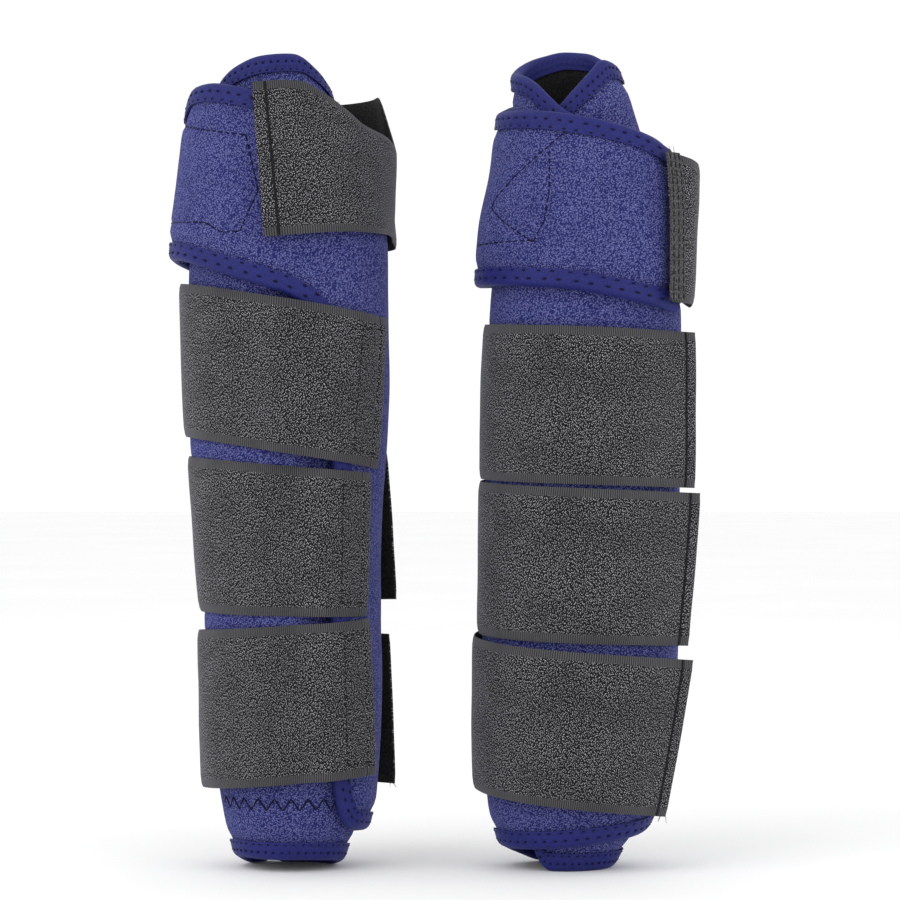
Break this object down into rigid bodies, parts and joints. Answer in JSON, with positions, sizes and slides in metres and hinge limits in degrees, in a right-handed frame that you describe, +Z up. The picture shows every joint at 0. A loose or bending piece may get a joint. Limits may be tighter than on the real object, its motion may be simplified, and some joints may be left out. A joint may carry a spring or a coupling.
{
  "type": "pair of tendon boots",
  "caption": "Padded neoprene leg boots for a horse, rolled up and held by wide hook-and-loop straps, with a sling flap and strap at the top.",
  "frame": {"origin": "middle of the underside of the pair's bounding box, on the surface the boots stand on", "axes": "+Z up along the boots, -Y towards the viewer of the pair, +X to the right"},
  "size_m": [0.2174, 0.0902, 0.3355],
  "materials": {
    "loop_neoprene": "matte loop-faced foam laminate",
    "binding": "smooth folded tape",
    "lining": "matte jersey",
    "strap_tape": "woven loop tape",
    "hook_tape": "hook tape"
  },
  "bodies": {
    "left_boot": {"left_shell": "loop_neoprene", "left_lining": "lining", "left_wing_patch": "hook_tape", "left_hem_binding": "binding", "left_flap_binding": "binding", "left_top_binding": "binding", "left_inner_edge_binding": "binding", "left_upper_strap_band": "strap_tape", "left_middle_strap_band": "strap_tape", "left_lower_strap_band": "strap_tape", "left_sling_strap_band": "strap_tape"},
    "left_upper_strap_tail": {"left_upper_strap_tail": "strap_tape", "left_upper_strap_hook": "hook_tape"},
    "left_middle_strap_tail": {"left_middle_strap_tail": "strap_tape", "left_middle_strap_hook": "hook_tape"},
    "left_lower_strap_tail": {"left_lower_strap_tail": "strap_tape", "left_lower_strap_hook": "hook_tape"},
    "left_sling_strap_tail": {"left_sling_strap_tail": "strap_tape", "left_sling_strap_hook": "hook_tape"},
    "right_boot": {"right_shell": "loop_neoprene", "right_lining": "lining", "right_wing_patch": "hook_tape", "right_hem_binding": "binding", "right_flap_binding": "binding", "right_top_binding": "binding", "right_inner_edge_binding": "binding", "right_upper_strap_band": "strap_tape", "right_middle_strap_band": "strap_tape", "right_lower_strap_band": "strap_tape", "right_sling_strap_band": "strap_tape"},
    "right_upper_strap_tail": {"right_upper_strap_tail": "strap_tape", "right_upper_strap_hook": "hook_tape"},
    "right_middle_strap_tail": {"right_middle_strap_tail": "strap_tape", "right_middle_strap_hook": "hook_tape"},
    "right_lower_strap_tail": {"right_lower_strap_tail": "strap_tape", "right_lower_strap_hook": "hook_tape"},
    "right_sling_strap_tail": {"right_sling_strap_tail": "strap_tape", "right_sling_strap_hook": "hook_tape"}
  },
  "joints": [
    {"name": "left_upper_strap_open", "type": "hinge", "parent": "left_boot", "child": "left_upper_strap_tail", "pos_m": [-0.1055, -0.0005, 0], "axis": [0, 0, 1], "range_deg": [0, 75]},
    {"name": "left_middle_strap_open", "type": "hinge", "parent": "left_boot", "child": "left_middle_strap_tail", "pos_m": [-0.1015, -0.0005, 0], "axis": [0, 0, 1], "range_deg": [0, 75]},
    {"name": "left_lower_strap_open", "type": "hinge", "parent": "left_boot", "child": "left_lower_strap_tail", "pos_m": [-0.0977, -0.0005, 0], "axis": [0, 0, 1], "range_deg": [0, 75]},
    {"name": "left_sling_strap_open", "type": "hinge", "parent": "left_boot", "child": "left_sling_strap_tail", "pos_m": [-0.0149, -0.0005, 0], "axis": [0, 0, 1], "range_deg": [0, 75]},
    {"name": "right_upper_strap_open", "type": "hinge", "parent": "right_boot", "child": "right_upper_strap_tail", "pos_m": [0.0176, -0.0005, 0], "axis": [0, 0, -1], "range_deg": [0, 75]},
    {"name": "right_middle_strap_open", "type": "hinge", "parent": "right_boot", "child": "right_middle_strap_tail", "pos_m": [0.0166, -0.0005, 0], "axis": [0, 0, -1], "range_deg": [0, 75]},
    {"name": "right_lower_strap_open", "type": "hinge", "parent": "right_boot", "child": "right_lower_strap_tail", "pos_m": [0.0147, -0.0005, 0], "axis": [0, 0, -1], "range_deg": [0, 75]},
    {"name": "right_sling_strap_open", "type": "hinge", "parent": "right_boot", "child": "right_sling_strap_tail", "pos_m": [0.1085, -0.0005, 0], "axis": [0, 0, -1], "range_deg": [0, 75]},
    {"name": "boots_apart", "type": "slide", "parent": "left_boot", "child": "right_boot", "axis": [1, 0, 0], "range_m": [0, 0.12]}
  ]
}
